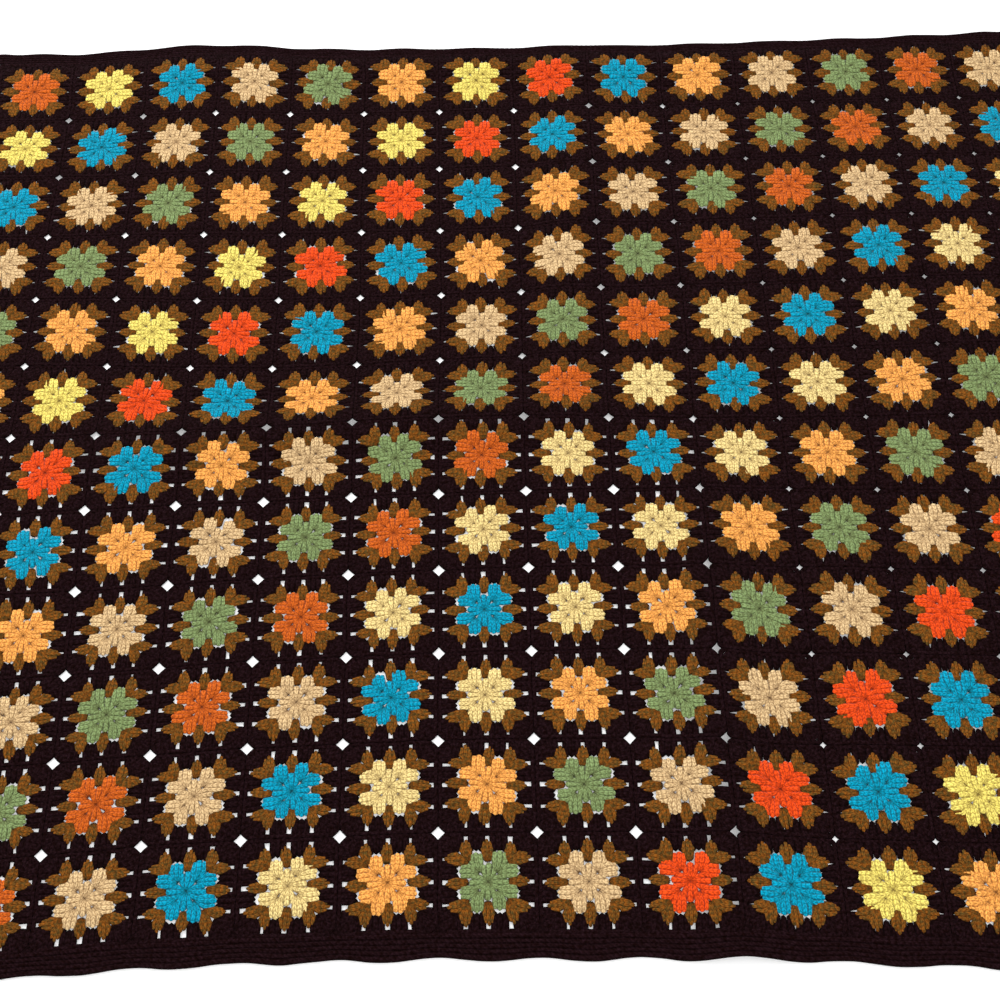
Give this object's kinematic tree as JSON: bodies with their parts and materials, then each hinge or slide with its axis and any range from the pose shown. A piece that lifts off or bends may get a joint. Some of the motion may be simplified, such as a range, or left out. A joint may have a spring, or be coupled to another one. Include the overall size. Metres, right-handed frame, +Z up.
{
  "type": "granny square blanket",
  "caption": "Crocheted blanket of granny squares with bright centres on a dark ground and a dark crocheted border, laid out flat with soft folds.",
  "frame": {"origin": "on the surface the blanket lies on, under the middle of its bounding box", "axes": "+X along the rows of squares, which is its longer side, +Y across them, +Z up through the cloth"},
  "size_m": [1.4498, 1.2726, 0.018],
  "materials": {
    "dark_yarn": "matt crocheted wool-like yarn",
    "brown_yarn": "matt crocheted wool-like yarn",
    "rust_yarn": "matt crocheted wool-like yarn",
    "lemon_yarn": "matt crocheted wool-like yarn",
    "teal_yarn": "matt crocheted wool-like yarn",
    "tan_yarn": "matt crocheted wool-like yarn",
    "sage_yarn": "matt crocheted wool-like yarn",
    "apricot_yarn": "matt crocheted wool-like yarn",
    "scarlet_yarn": "matt crocheted wool-like yarn",
    "cream_yarn": "matt crocheted wool-like yarn"
  },
  "bodies": {
    "root": {"squares_panel": "dark_yarn", "border": "dark_yarn"}
  },
  "joints": []
}
